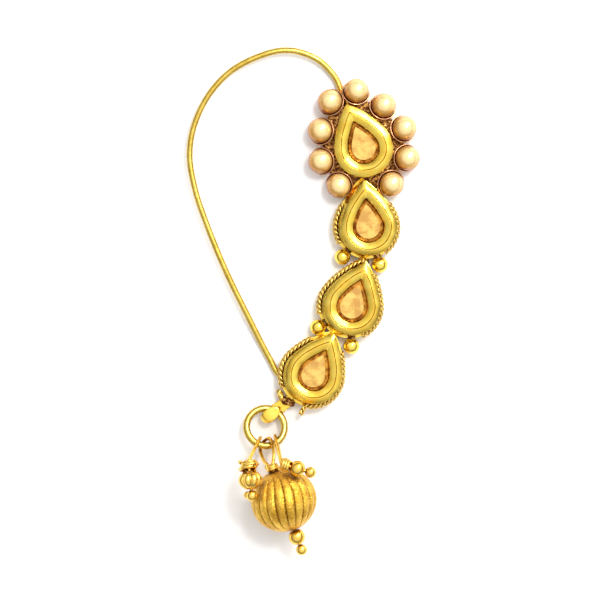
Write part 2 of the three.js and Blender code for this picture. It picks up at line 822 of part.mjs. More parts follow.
// The left pin has a small grain beside its head
function leftPin() {
  const beside = climbing(drops.left.heading - grainWay.turn, grainWay.climb);
  const place = flutedPlace.clone()
    .addScaledVector(flutedAxis, flutedReach + pieceGap + headDiameter / 2)
    .addScaledVector(beside, headDiameter / 2);
  const grain = ball(grainDiameter / 2, granuleSides).translate(place.x, place.y, place.z);
  return pin({
    place: flutedPlace, axis: flutedAxis, bead: flutedReach, turns: 3, extra: [grain], ...drops.left,
  });
}

function middlePin() {
  return pin({
    place: melonPlace, axis: middleAxis, bead: melonReach, stack: pieceGap + 2 * spacerReach,
    turns: 2, ...drops.middle,
  });
}

function rightPin() {
  return pin({ place: plainPlace, axis: plainAxis, bead: plainReach, turns: 3, ...drops.right });
}

// Materials

const gold = { color: 0xe0b23c, roughness: 0.28, metalness: 1 };
const pearl = { color: 0xf3d9b6, roughness: 0.3, metalness: 0 };
const amber = { color: 0xe0913c, roughness: 0.12, metalness: 0 };

// The whole, with its origin under the middle of its box

const group = new THREE.Group();

function add(name, geometry, look) {
  const mesh = new THREE.Mesh(weld(geometry), new THREE.MeshStandardMaterial(look));
  mesh.name = name;
  group.add(mesh);
  return mesh;
}

function addAimed(name, geometry, look, place, axis) {
  const mesh = add(name, geometry, look);
  mesh.position.copy(place);
  mesh.quaternion.setFromUnitVectors(new THREE.Vector3(0, 0, 1), axis);
  return mesh;
}

add('setting_frame', settingFrame(), gold);
frames.forEach((frame, i) => {
  const stone = add(`stone_${i + 1}`, cutStone(), amber);
  stone.position.copy(frame.place);
  stone.rotation.z = radians(frame.turn);
});
seats.forEach((seat, i) => {
  addAimed(`pearl_${i + 1}`, ball(pearlRadius, cupSides), pearl, seat.place, cupAxis(seat));
});
frames.slice(1).forEach((frame, i) => {
  add(`rope_${i + 2}_left`, rope(frame, -1), gold);
  add(`rope_${i + 2}_right`, rope(frame, 1), gold);
});
add('nose_wire', wireAlong(noseCurve, wireRadius, wireSteps), gold);
const ring = add('jump_ring', new THREE.TorusGeometry(ringRadius, ringWire / 2, wireSides, 28), gold);
ring.position.copy(ringCentre);
ring.quaternion.copy(ringTurn);
add('left_pin', leftPin(), gold);
add('middle_pin', middlePin(), gold);
add('right_pin', rightPin(), gold);
addAimed('melon_bead', melonBead(), gold, melonPlace, middleAxis);
addAimed('fluted_bead', flutedBead(), gold, flutedPlace, flutedAxis);
addAimed('plain_bead', boredBead(plainDiameter, plainDiameter, beadSides), gold, plainPlace, plainAxis);
const spacerBead = boredBead(spacerDiameter, spacerDiameter, beadSides);
addAimed('spacer_bead', spacerBead, gold, spacerPlace, middleAxis);

const box = new THREE.Box3().setFromObject(group, true);
const middle = box.getCenter(new THREE.Vector3());
group.position.set(-middle.x, -middle.y, -box.min.z);

export default group;
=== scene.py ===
import math

import bpy
import numpy as np
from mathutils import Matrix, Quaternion, Vector


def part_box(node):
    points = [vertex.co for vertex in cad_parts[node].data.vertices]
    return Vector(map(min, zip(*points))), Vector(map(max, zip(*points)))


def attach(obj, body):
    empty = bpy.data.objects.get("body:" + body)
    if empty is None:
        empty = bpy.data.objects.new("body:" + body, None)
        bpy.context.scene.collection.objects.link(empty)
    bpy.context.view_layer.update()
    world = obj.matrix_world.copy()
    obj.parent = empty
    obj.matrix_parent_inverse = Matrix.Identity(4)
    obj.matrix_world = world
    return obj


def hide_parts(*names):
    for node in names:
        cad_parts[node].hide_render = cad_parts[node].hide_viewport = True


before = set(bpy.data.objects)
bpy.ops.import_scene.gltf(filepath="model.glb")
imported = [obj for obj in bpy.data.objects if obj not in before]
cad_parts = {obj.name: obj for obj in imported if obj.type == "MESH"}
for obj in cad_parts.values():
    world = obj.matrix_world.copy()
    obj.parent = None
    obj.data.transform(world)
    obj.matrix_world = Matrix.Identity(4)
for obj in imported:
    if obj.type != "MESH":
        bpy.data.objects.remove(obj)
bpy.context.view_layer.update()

MM = 0.001
UP = np.array([0.0, 0.0, 1.0])

# Sizes in millimetres, as in the part's source
STONE_RADIUS = 1.8
STONE_TIP = 3.3
STONE_SIDE = 9.0
STONE_CROWN = 0.42
CROWN_WIDTH = 0.38
GIRDLE_BAND = 0.08
CULET_INSET = 0.7
STONE_FIT = 0.1
INNER_BAND = 0.72
GROOVE = 0.12
GROOVE_DEPTH = 0.17
OUTER_BAND = 0.76
INNER_SLOPE = 0.4
OUTER_SLOPE = 0.42
BAND_EDGE = 0.16
WALL_INSET = 0.25
TOP_LEAN = 0.2
UPPER_LEAN = -0.3
ROPED_INSET = 0.08
BASE_INSET = 0.08
BASE_ROUND = 0.06
EDGE_ROUND = 0.05
STONE_SINK = 0.05
ROPE_FIT = 0.1
ROPE_RADIUS = 0.3
ROPE_STEP = 0.15
ROPE_PITCH = 1.14
STRAND_RADIUS = 0.155
STRANDS = 2
# Degrees about a setting that a rope's strands stop short of its solid's ends
ROPE_TRIM_FIRST = 1.5
ROPE_TRIM_LAST = 3
ROPE_TRIM_TAIL = 9
PEARL_RADIUS = 1.475
CUP_OUTER = 1.705
CUP_INNER = 1.585
CUP_TILT = 27
PEARL_PROUD = 0.44
PLATE_WIDTH = 1.4
PLATE_HEIGHT = 0.5
GRANULE_RADIUS = 0.95
GRANULE_GAP = 0.27
GRANULE_ANGLE = 29
GRANULE_LIFT = 0.15
STUB_RADIUS = 0.47
STUB_ROOT = 0.9
STUB_DROP = 0.29
JOINT_RADIUS = 0.45
JOINT_HEIGHT = 0.6
JOINT_ROOT = 1
JOINT_HEADINGS = (270, 266.7, 236.6)
SOLDER_PLACE = (-2.2, -12.0, 0.95)
CURL_PLACE = (-2.85, -11.0, 0.9)
SURFACE_LIFT = 0.06
WIRE_RADIUS = 0.375
PIN_RADIUS = 0.21
RING_RADIUS = 2.28
RING_WIRE = 0.425
BAIL_WIDTH = 1.6
BAIL_NECK = 1.3
BAIL_THICK = 0.35
BAIL_HEADING = 217
BAIL_OFFSET = 0.7
BAIL_PLAY = 0.18
BAIL_SLACK = 1.16
BAIL_LENGTH = 4.67
BAIL_RETURN = 2.55
BAIL_ROUND = 1.25
BAIL_ROOT = 0.9

DROP_GROW = STONE_FIT + INNER_BAND + GROOVE + OUTER_BAND
WALL_GROW = DROP_GROW - WALL_INSET
DROP_RADIUS = STONE_RADIUS + DROP_GROW
ROPE_GROW = WALL_GROW + ROPE_FIT + ROPE_RADIUS + ROPE_STEP / 2
FLANGE_GROW = ROPE_GROW + ROPE_STEP / 2

# Turn of each setting's tip from +Y
TURNS = [21.6, 5.5, -17.9, -26.6]


# Mesh helpers, in millimetres

def unit(vector):
    vector = np.asarray(vector, float)
    return vector / np.linalg.norm(vector)


def way(degrees, climb=0.0):
    """The unit vector at a heading on plan, raised by climb degrees."""
    flat = math.cos(math.radians(climb))
    return np.array([
        flat * math.cos(math.radians(degrees)),
        flat * math.sin(math.radians(degrees)),
        math.sin(math.radians(climb)),
    ])


def join(parts):
    """Joins (vertices, faces) pairs into one."""
    vertices, faces, offset = [], [], 0
    for part_vertices, part_faces in parts:
        vertices.append(part_vertices)
        faces.extend([tuple(i + offset for i in face) for face in part_faces])
        offset += len(part_vertices)
    return np.vstack(vertices), faces


def piece(name, mesh, material, nodes=(), smooth=True):
    """Makes an object from a mesh in millimetres, on the jewel's one body."""
    vertices, faces = mesh
    data = bpy.data.meshes.new(name)
    data.from_pydata([tuple(v) for v in np.asarray(vertices) * MM], [], faces)
    data.materials.append(material)
    if smooth:
        data.shade_smooth()
    data.update()
    obj = bpy.data.objects.new(name, data)
    bpy.context.scene.collection.objects.link(obj)
    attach(obj, "root")
    if nodes:
        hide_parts(*nodes)
    return obj


def soften(points, radius):
    """Rounds the inner corners of a profile, cutting each by at most radius."""
    steps = 3
    points = [np.asarray(p, float) for p in points]
    out = [points[0]]
    for before, corner, after in zip(points, points[1:], points[2:]):
        cut = min(radius, np.linalg.norm(corner - before) / 2, np.linalg.norm(after - corner) / 2)
        start = corner + unit(before - corner) * cut
        end = corner + unit(after - corner) * cut
        for i in range(steps + 1):
            t = i / steps
            out.append((1 - t) ** 2 * start + 2 * t * (1 - t) * corner + t * t * end)
    out.append(points[-1])
    return out


def grid_faces(rows, columns, closed_rows=False):
    """Faces between rows of points that each run round in a ring."""
    faces = []
    for r in range(rows if closed_rows else rows - 1):
        row, above = r * columns, (r + 1) % rows * columns
        for c in range(columns):
            following = (c + 1) % columns
            faces.append((row + c, row + following, above + following, above + c))
    return faces


def capped_faces(rows, columns):
    """Faces between rings of points, with the first and the last ring filled."""
    faces = grid_faces(rows, columns)
    faces.append(tuple(reversed(range(columns))))
    faces.append(tuple(range((rows - 1) * columns, rows * columns)))
    return faces


def frames_along(points):
    """Tangents and normals that turn as little as possible along a line of points."""
    tangents = np.gradient(points, axis=0)
    tangents /= np.linalg.norm(tangents, axis=1)[:, None]
    normal = np.array([1.0, 0.0, 0.0]) if abs(np.dot(UP, tangents[0])) > 0.95 else UP
    normals = []
    for tangent in tangents:
        normal = unit(normal - np.dot(normal, tangent) * tangent)
        normals.append(normal)
    return tangents, np.array(normals)


def tube(points, radius, sides):
    """A round wire along points, with domed ends."""
    points = np.asarray(points, float)
    tangents, normals = frames_along(points)
    binormals = np.cross(tangents, normals)
    dome = [math.pi / 2 * share for share in (0.125, 0.375, 0.625, 0.875)]
    rings = [(points[0] - tangents[0] * radius * math.cos(angle), normals[0], binormals[0],
              radius * math.sin(angle)) for angle in dome]
    rings += [(p, n, b, radius) for p, n, b in zip(points, normals, binormals)]
    rings += [(points[-1] + tangents[-1] * radius * math.cos(angle), normals[-1], binormals[-1],
               radius * math.sin(angle)) for angle in reversed(dome)]
    angles = np.arange(sides) * 2 * math.pi / sides
    vertices = [p + r * (math.cos(a) * n + math.sin(a) * b) for p, n, b, r in rings for a in angles]
    return np.array(vertices), capped_faces(len(rings), sides)


def turned(profile, sides, closed=False):
    """A profile of (radius, height) turned about +Z; its ends are on the axis unless it is closed."""
    angles = np.arange(sides) * 2 * math.pi / sides
    vertices = [(r * math.cos(a), r * math.sin(a), z) for r, z in profile for a in angles]
    return np.array(vertices), grid_faces(len(profile), sides, closed_rows=closed)


def half_circle(radius, rows, smallest):
    """A turned ball's profile; smallest is the radius left at its two poles."""
    angles = [-math.pi / 2 + math.pi * i / rows for i in range(rows + 1)]
    return [(max(radius * math.cos(angle), smallest), radius * math.sin(angle)) for angle in angles]


def aim(mesh, place, axis):
    """Turns a mesh from +Z to an axis and moves it to a place."""
    vertices, faces = mesh
    matrix = np.array(Vector((0, 0, 1)).rotation_difference(Vector(axis)).to_matrix())
    return vertices @ matrix.T + np.asarray(place), faces


def spline(points, count):
    """A smooth line through points, evenly sampled."""
    points = [np.asarray(p, float) for p in points]
    whole = [2 * points[0] - points[1], *points, 2 * points[-1] - points[-2]]
    dense = []
    for p0, p1, p2, p3 in zip(whole, whole[1:], whole[2:], whole[3:]):
        knots = [0.0]
        for a, b in ((p0, p1), (p1, p2), (p2, p3)):
            knots.append(knots[-1] + max(np.linalg.norm(b - a), 1e-6) ** 0.5)
        t0, t1, t2, t3 = knots
        for t in np.linspace(t1, t2, 24, endpoint=False):
            a1 = (t1 - t) / (t1 - t0) * p0 + (t - t0) / (t1 - t0) * p1
            a2 = (t2 - t) / (t2 - t1) * p1 + (t - t1) / (t2 - t1) * p2
            a3 = (t3 - t) / (t3 - t2) * p2 + (t - t2) / (t3 - t2) * p3
            b1 = (t2 - t) / (t2 - t0) * a1 + (t - t0) / (t2 - t0) * a2
            b2 = (t3 - t) / (t3 - t1) * a2 + (t - t1) / (t3 - t1) * a3
            dense.append((t2 - t) / (t2 - t1) * b1 + (t - t1) / (t2 - t1) * b2)
    dense.append(points[-1])
    return resample(np.array(dense), count)


def resample(points, count):
    """The same line as count points, evenly spaced."""
    steps = np.linalg.norm(np.diff(points, axis=0), axis=1)
    along = np.concatenate([[0], np.cumsum(steps)])
    at = np.linspace(0, along[-1], count)
    return np.column_stack([np.interp(at, along, points[:, k]) for k in range(3)])


def wobble(vertices, amount, scale, seed):
    """Moves points by a smooth field, as hand work leaves a surface a little uneven."""
    p = np.asarray(vertices) / scale + seed
    field = np.column_stack([
        np.sin(p[:, 1] * 1.7 + 1.3 * np.sin(p[:, 2])) + 0.5 * np.sin(p[:, 0] * 3.1 + p[:, 2] * 1.9),
        np.sin(p[:, 2] * 1.9 + 1.1 * np.sin(p[:, 0])) + 0.5 * np.sin(p[:, 1] * 2.7 + p[:, 0] * 2.1),
        np.sin(p[:, 0] * 1.5 + 1.2 * np.sin(p[:, 1])) + 0.5 * np.sin(p[:, 1] * 3.3 + p[:, 2] * 1.7),
    ])
    return np.asarray(vertices) + amount * field


# Materials

def new_material(name):
    """A material with its node tree and its shader."""
    material = bpy.data.materials.new(name)
    material.use_nodes = True
    tree = material.node_tree
    return material, tree, tree.nodes["Principled BSDF"]


def noise(tree, scale, detail=3.0, roughness=0.5, stretch=None):
    """Noise over the object's own metres, stretched where three scales are given."""
    node = tree.nodes.new("ShaderNodeTexNoise")
    node.inputs["Scale"].default_value = scale
    node.inputs["Detail"].default_value = detail
    node.inputs["Roughness"].default_value = roughness
    coordinates = tree.nodes.new("ShaderNodeTexCoord")
    if stretch is None:
        tree.links.new(coordinates.outputs["Object"], node.inputs["Vector"])
    else:
        mapping = tree.nodes.new("ShaderNodeMapping")
        mapping.inputs["Scale"].default_value = stretch
        tree.links.new(coordinates.outputs["Object"], mapping.inputs["Vector"])
        tree.links.new(mapping.outputs["Vector"], node.inputs["Vector"])
    return node.outputs["Fac"]


def ramp(tree, factor, stops):
    node = tree.nodes.new("ShaderNodeValToRGB")
    elements = node.color_ramp.elements
    while len(elements) < len(stops):
        elements.new(0.5)
    for element, (position, color) in zip(elements, stops):
        element.position = position
        element.color = (*color, 1)
    tree.links.new(factor, node.inputs["Fac"])
    return node.outputs["Color"]


def mix_colors(tree, factor, linked, fixed):
    """A mix from a linked colour to a fixed one."""
    node = tree.nodes.new("ShaderNodeMix")
    node.data_type = "RGBA"
    tree.links.new(factor, node.inputs["Factor"])
    tree.links.new(linked, node.inputs["A"])
    node.inputs["B"].default_value = (*fixed, 1)
    return node.outputs["Result"]


def map_range(tree, value, low, high, to_low=0.0, to_high=1.0):
    node = tree.nodes.new("ShaderNodeMapRange")
    node.inputs["From Min"].default_value = low
    node.inputs["From Max"].default_value = high
    node.inputs["To Min"].default_value = to_low
    node.inputs["To Max"].default_value = to_high
    tree.links.new(value, node.inputs["Value"])
    return node.outputs["Result"]


def dot(tree, vector, direction):
    node = tree.nodes.new("ShaderNodeVectorMath")
    node.operation = "DOT_PRODUCT"
    tree.links.new(vector, node.inputs[0])
    node.inputs[1].default_value = direction
    return node.outputs["Value"]


def add_values(tree, first, second, weight):
    """The first value plus a share of the second."""
    node = tree.nodes.new("ShaderNodeMath")
    node.operation = "MULTIPLY_ADD"
    tree.links.new(second, node.inputs[0])
    node.inputs[1].default_value = weight
    tree.links.new(first, node.inputs[2])
    return node.outputs["Value"]


def bump(tree, shader, height, strength, distance):
    node = tree.nodes.new("ShaderNodeBump")
    node.inputs["Strength"].default_value = strength
    node.inputs["Distance"].default_value = distance
    tree.links.new(height, node.inputs["Height"])
    tree.links.new(node.outputs["Normal"], shader.inputs["Normal"])


def antique_and_shade_mask(tree, distance, low, high):
    """1 in hollows and seams, 0 on open surfaces; it darkens the colour there, partly as a patina finish
    and partly as painted shade.
    """
    node = tree.nodes.new("ShaderNodeAmbientOcclusion")
    node.samples = 8
    node.inputs["Distance"].default_value = distance
    return map_range(tree, node.outputs["AO"], low, high, 1.0, 0.0)


def gold_material(name, bright, deep, antique_and_shade, rough=0.2, hollow=0.0005, grain=1.0, grit=False,
                  shade=(0.35, 0.9)):
    """Plated gold: a polished skin, a fine uneven grain, rub marks, and in the hollows a dark colour that
    is partly a patina finish and partly painted shade.

    Gritty gold is mottled in grains, the others in broad patches.
    """
    material, tree, shader = new_material(name)
    if grit:
        tint = ramp(tree, noise(tree, 3400, 3, 0.55), [(0.44, deep), (0.6, bright)])
    else:
        tint = ramp(tree, noise(tree, 900, 4, 0.6), [(0.35, deep), (0.68, bright)])
    # Painted shade: hollows and seams are darkened towards the last colour, partly as a patina finish and
    # partly as painted shade.
    hollow_shade_and_patina = antique_and_shade_mask(tree, hollow, *shade)
    patchy = map_range(tree, noise(tree, 2600, 3), 0.3, 0.7, 0.55, 1.0)
    strength = tree.nodes.new("ShaderNodeMath")
    strength.operation = "MULTIPLY"
    tree.links.new(hollow_shade_and_patina, strength.inputs[0])
    tree.links.new(patchy, strength.inputs[1])
    color = mix_colors(tree, strength.outputs["Value"], tint, antique_and_shade)
    tree.links.new(color, shader.inputs["Base Color"])
    shader.inputs["Metallic"].default_value = 1.0
    worn = map_range(tree, noise(tree, 1500, 5, 0.65), 0.35, 0.7, rough * 0.7, rough * 1.5)
    tree.links.new(worn, shader.inputs["Roughness"])
    rubs = noise(tree, 1.0, 2, 0.5, stretch=(9000, 1400, 4000))
    fine = add_values(tree, noise(tree, 4200, 4, 0.6), rubs, 0.5)
    relief = add_values(tree, fine, noise(tree, 800, 2, 0.4), 4.5 / grain)
    bump(tree, shader, relief, 0.9, 0.000008 * grain)
    return material


def pearl_material(name):
    """Cream pearl: a soft body with painted light, pale where it faces up and to the upper right and
    painted dark orange towards its edges and low in its cup as painted shade and a painted reflection of
    the cup, a clear lustre and a faintly mottled skin.
    """
    material, tree, shader = new_material(name)
    facing = tree.nodes.new("ShaderNodeTexCoord").outputs["Normal"]
    # Painted light: the colour runs from painted shade and a painted reflection of the cup at the edges to
    # a painted highlight on the side facing the light.
    high = map_range(tree, dot(tree, facing, (0.22, 0.2, 0.95)), 0.0, 0.95)
    uneven = add_values(tree, high, noise(tree, 1100, 3, 0.5), 0.3)
    body = ramp(tree, uneven, [
        (0.15, (0.3, 0.07, 0.006)), (0.45, (0.54, 0.24, 0.045)), (0.8, (0.7, 0.42, 0.13)),
        (1.0, (0.86, 0.64, 0.3)),
    ])
    tree.links.new(body, shader.inputs["Base Color"])
    shader.inputs["Subsurface Weight"].default_value = 0.2
    shader.inputs["Subsurface Radius"].default_value = (0.0006, 0.0003, 0.00015)
    shader.inputs["Subsurface Scale"].default_value = 1.0
    worn = map_range(tree, noise(tree, 1200, 3), 0.3, 0.7, 0.24, 0.38)
    tree.links.new(worn, shader.inputs["Roughness"])
    shader.inputs["Metallic"].default_value = 0.4
    shader.inputs["Coat Weight"].default_value = 0.8
    shader.inputs["Coat Roughness"].default_value = 0.16
    shader.inputs["Specular IOR Level"].default_value = 0.15
    bump(tree, shader, noise(tree, 1800, 2), 0.12, 0.00003)
    return material


def stone_material(name, dark, light, rough, size):
    """Amber glass over foil, cloudy inside."""
    material, tree, shader = new_material(name)
    cloud = ramp(tree, noise(tree, size, 4, 0.6), [(0.4, dark), (0.6, light)])
    tree.links.new(cloud, shader.inputs["Base Color"])
    shader.inputs["Metallic"].default_value = 0.35
    worn = map_range(tree, noise(tree, 1600, 2), 0.3, 0.7, rough * 0.7, rough * 1.4)
    tree.links.new(worn, shader.inputs["Roughness"])
    shader.inputs["Coat Weight"].default_value = 0.8
    shader.inputs["Coat Roughness"].default_value = 0.05
    bump(tree, shader, noise(tree, 900, 3), 0.25, 0.00005)
    return material


# Each gold's last colour darkens its hollows and seams: partly a patina finish, partly painted shade.
GOLD = gold_material("polished gold", (1.0, 0.77, 0.15), (0.98, 0.64, 0.08), (0.4, 0.2, 0.03))
WIRE_GOLD = gold_material("wire gold", (0.68, 0.49, 0.11), (0.55, 0.37, 0.06), (0.26, 0.12, 0.02),
                          rough=0.26)
BEAD_GOLD = gold_material("bead gold", (0.95, 0.67, 0.16), (0.86, 0.53, 0.08), (0.4, 0.14, 0.02),
                          rough=0.22, hollow=0.0006)
# The melon bead's grooves get a strong painted shade along with the patina.
MELON_GOLD = gold_material("melon bead gold", (0.98, 0.63, 0.095), (0.66, 0.35, 0.035), (0.14, 0.05, 0.004),
                           rough=0.28, hollow=0.0008, grain=18.0, shade=(0.55, 0.97))
ROPE_GOLD = gold_material("rope gold", (0.92, 0.64, 0.17), (0.7, 0.44, 0.09), (0.08, 0.03, 0.006),
                          rough=0.28, hollow=0.0004, grain=1.6)
CUP_COPPER = gold_material("cup copper", (0.95, 0.54, 0.29), (0.78, 0.37, 0.17), (0.14, 0.04, 0.012),
                           rough=0.24, hollow=0.0002)
ANTIQUE = gold_material("antique recess", (0.6, 0.33, 0.1), (0.09, 0.028, 0.008), (0.04, 0.012, 0.004),
                        rough=0.4, hollow=0.0006, grain=12.0, grit=True)
PEARL = pearl_material("cream pearl")
TABLE = stone_material("stone table", (0.52, 0.26, 0.035), (0.74, 0.49, 0.1), 0.18, 850)
# The facets are the table's stone in darker colours: painted shade and painted reflection for the dark
# brown the facets reflect.
SHADED_FACET = stone_material("stone facets", (0.26, 0.075, 0.009), (0.78, 0.4, 0.07), 0.1, 1300)


# Teardrop outline, grown outwards from the stone's edge, from the tip clockwise

def drop_outline(grow, side_steps=16, round_steps=64):
    offset = STONE_SIDE - STONE_RADIUS
    tangent = math.acos((2 * STONE_SIDE * STONE_RADIUS - STONE_RADIUS ** 2 - STONE_TIP ** 2)
                        / (2 * STONE_TIP * offset))
    radius = STONE_RADIUS + grow
    side = STONE_SIDE + grow
    centre = np.array([-offset * math.sin(tangent), -offset * math.cos(tangent)])
    start = math.asin(-centre[0] / side)
    right = []
    for i in range(side_steps):
        angle = start + (tangent - start) * i / side_steps
        right.append(centre + side * np.array([math.sin(angle), math.cos(angle)]))
    rounded = []
    for i in range(round_steps + 1):
        angle = tangent + (2 * math.pi - 2 * tangent) * i / round_steps
        rounded.append(radius * np.array([math.sin(angle), math.cos(angle)]))
    left = [np.array([-p[0], p[1]]) for p in reversed(right[1:])]
    return np.array([*right, *rounded, *left])


class Setting:
    """Where a setting is: its middle, worked out from its stone's box, and its turn."""

    def __init__(self, node, turn):
        low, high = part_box(node)
        c, s = math.cos(math.radians(turn)), math.sin(math.radians(turn))
        self.matrix = np.array([[c, s], [-s, c]])
        outline = drop_outline(0) @ self.matrix
        middle = (outline.min(0) + outline.max(0)) / 2
        self.place = np.array([(low.x + high.x) / 2, (low.y + high.y) / 2]) / MM - middle
        self.stone_low = low.z / MM
        self.stone_high = high.z / MM

    def put(self, vertices):
        """From the setting's own frame to the jewel's."""
        vertices = np.asarray(vertices, float)
        flat = vertices[:, :2] @ self.matrix + self.place
        return np.column_stack([flat, vertices[:, 2]])

    def outline(self, grow):
        return drop_outline(grow) @ self.matrix + self.place

    def heading_to(self, other):
        gap = other.place - self.place
        return math.degrees(math.atan2(gap[1], gap[0]))


settings = [Setting(f"stone_{i + 1}", turn) for i, turn in enumerate(TURNS)]
LAST = settings[-1]
FRAME_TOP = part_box("setting_frame")[1].z / MM
ROPE_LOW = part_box("rope_2_left")[0].z / MM
ROPE_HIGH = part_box("rope_2_left")[1].z / MM


# Settings: base, wall and a bezel with a fine groove along its ridge

def drop_surface(setting, rows, lean_rows):
    """A skin through rows of (grow, height), closed below and above."""
    rings = []
    for (grow, height), lean in zip(rows, lean_rows):
        ring = setting.outline(grow) + np.array([-TOP_LEAN * lean, 0])
        rings.append(np.column_stack([ring, np.full(len(ring), height)]))
    faces = capped_faces(len(rings), len(rings[0]))
    return np.vstack(rings), [tuple(reversed(face)) for face in faces]


def bezel(setting, index):
    roped = index > 0
    wall_top = ROPE_HIGH + ROPE_FIT
    edge = FRAME_TOP - OUTER_SLOPE - BAND_EDGE
    rim = DROP_GROW - (ROPED_INSET if roped else 0.0)
    groove_in = STONE_FIT + INNER_BAND
    groove_out = groove_in + GROOVE
    profile = [
        (WALL_GROW, (wall_top + ROPE_LOW) / 2),
        (WALL_GROW, wall_top),
        (rim, edge),
        (rim, FRAME_TOP - OUTER_SLOPE),
        (groove_out, FRAME_TOP),
        ((groove_out + groove_in) / 2, FRAME_TOP - GROOVE_DEPTH),
        (groove_in, FRAME_TOP),
        (STONE_FIT, FRAME_TOP - INNER_SLOPE),
        (STONE_FIT, setting.stone_low - STONE_SINK),
    ]
    rows = soften(profile, EDGE_ROUND)
    if roped:
        flange_top = ROPE_LOW - ROPE_FIT
        base = [(FLANGE_GROW - BASE_INSET, 0.0), (FLANGE_GROW, 0.0), (FLANGE_GROW, flange_top),
                (WALL_GROW, flange_top)]
        rows = [*soften(base, BASE_ROUND), *rows]
    else:
        rows = [(WALL_GROW, 0.0), *rows]
    lean = [(1.0 if height < edge - 0.01 else UPPER_LEAN) if roped else 0.0 for _, height in rows]
    vertices, faces = drop_surface(setting, rows, lean)
    return wobble(vertices, 0.022, 0.9, index * 2.3), faces


def make_settings():
    for index, setting in enumerate(settings):
        piece(f"bezel_{index + 1}", bezel(setting, index), GOLD, ["setting_frame"])


# Stones: a flat table and a ring of facets, with the foil side below

def make_stones():
    for index, setting in enumerate(settings):
        top, low = setting.stone_high, setting.stone_low
        girdle = top - STONE_CROWN
        rows = [(-CULET_INSET, low), (0.0, girdle - GIRDLE_BAND), (0.0, girdle), (-CROWN_WIDTH, top)]
        outlines = [drop_outline(grow, 4, 14) for grow, _ in rows]
        rings = [np.column_stack([o, np.full(len(o), z)]) for o, (_, z) in zip(outlines, rows)]
        count = len(rings[0])
        vertices = setting.put(np.vstack(rings))
        faces = [tuple(reversed(face)) for face in grid_faces(len(rings), count)]
        faces.append(tuple(range(count)))
        faces.append(tuple(reversed(range(3 * count, 4 * count))))
        obj = piece(f"stone_piece_{index + 1}", (vertices, faces), SHADED_FACET, [f"stone_{index + 1}"],
                    smooth=False)
        obj.data.materials.append(TABLE)
        obj.data.polygons[len(faces) - 1].material_index = 1


# Flower: nine pearls in tilted cups, round the first setting on a dark plate

class Seat:
    """A pearl's place, from its node's box, and the way its cup leans."""

    def __init__(self, node):
        low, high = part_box(node)
        self.node = node
        self.place = np.array((low + high) / 2) / MM
        self.axis = self.lean()

    def lean(self):
        """The cup's axis, tilted away from the nearest point of the setting."""
        outline = settings[0].outline(DROP_GROW)
        nearest = outline[np.argmin(np.linalg.norm(outline - self.place[:2], axis=1))]
        outward = unit(self.place[:2] - nearest)
        tilt = math.radians(CUP_TILT)
        return np.array([outward[0] * math.sin(tilt), outward[1] * math.sin(tilt), math.cos(tilt)])


seats = [Seat(f"pearl_{i + 1}") for i in range(9)]


def cup_wall(radius, start, end):
    """One side of a cup's profile, from one angle to another about the pearl's middle."""
    angles = [start + (end - start) * i / 14 for i in range(15)]
    return [(max(radius * math.cos(angle), 0.02), radius * math.sin(angle)) for angle in angles]


def cup_mesh(seat):
    outer_rim = math.asin(PEARL_PROUD / CUP_OUTER)
    inner_rim = math.asin(PEARL_PROUD / CUP_INNER)
    lip = (CUP_OUTER * math.cos(outer_rim) + CUP_INNER * math.cos(inner_rim)) / 2
    profile = [
        *cup_wall(CUP_OUTER, -math.pi / 2, -outer_rim),
        (lip + 0.09, -PEARL_PROUD + 0.01),
        (lip + 0.05, -PEARL_PROUD + 0.06),
        (lip - 0.05, -PEARL_PROUD + 0.05),
        *cup_wall(CUP_INNER, -inner_rim, -math.pi / 2),
    ]
    return aim(turned(profile, 48), seat.place, seat.axis)


def pearl_mesh(seat, index):
    vertices, faces = aim(turned(half_circle(PEARL_RADIUS, 32, 0.004), 48), seat.place, seat.axis)
    return wobble(vertices, 0.012, 1.3, index * 1.7), faces


def make_flower():
    for index, seat in enumerate(seats):
        piece(f"cup_{index + 1}", cup_mesh(seat), CUP_COPPER, ["setting_frame"])
        piece(f"pearl_piece_{index + 1}", pearl_mesh(seat, index), PEARL, [seat.node])
    grow = DROP_GROW + PLATE_WIDTH
    profile = [(grow - 0.1, 0.0), (grow, 0.1), (grow, PLATE_HEIGHT), (WALL_GROW - 0.2, PLATE_HEIGHT + 0.1)]
    rows = soften(profile, BASE_ROUND)
    mesh = drop_surface(settings[0], rows, [0.0] * len(rows))
    piece("flower_plate", mesh, ANTIQUE, ["setting_frame"])


# Roped edges: two rows, each of two twisted strands, laid in opposite ways

def rope_reach(setting, node):
    """The angles about a setting that its rope's solid spans, and the point where it ends."""
    points = np.array([v.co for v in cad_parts[node].data.vertices])[:, :2] / MM
    points[:, 0] += TOP_LEAN
    local = (points - setting.place) @ setting.matrix.T
    angle = np.degrees(np.arctan2(np.abs(local[:, 0]), local[:, 1]))
    far = np.hypot(local[:, 0], local[:, 1])
    last = angle > angle.max() - 12
    end = local[far >= far[last].max() - 0.02].mean(0)
    return angle.min(), angle.max(), end


def rope_row(setting, node, side, out, tail):
    """The line of one row on plan, from the tip of the setting to its rope's end."""
    outline = drop_outline(ROPE_GROW + out, 24, 96)
    half = outline[:len(outline) // 2 + 1]
    first, last, end = rope_reach(setting, node)
    angle = np.degrees(np.arctan2(half[:, 0], half[:, 1]))
    trim = ROPE_TRIM_TAIL if tail else ROPE_TRIM_LAST
    kept = half[(angle >= first + ROPE_TRIM_FIRST) & (angle <= last - trim)]
    if tail:
        end = np.array([abs(end[0]), end[1]])
        bend = (kept[-1] + end) / 2 + unit(kept[-1] - kept[-3]) * 0.12
        kept = np.array([*kept, bend, end + unit(end) * (out - ROPE_STEP / 2)])
    line = setting.put(np.column_stack([kept[:, 0] * side, kept[:, 1], np.zeros(len(kept))]))
    line[:, 0] -= TOP_LEAN
    return line


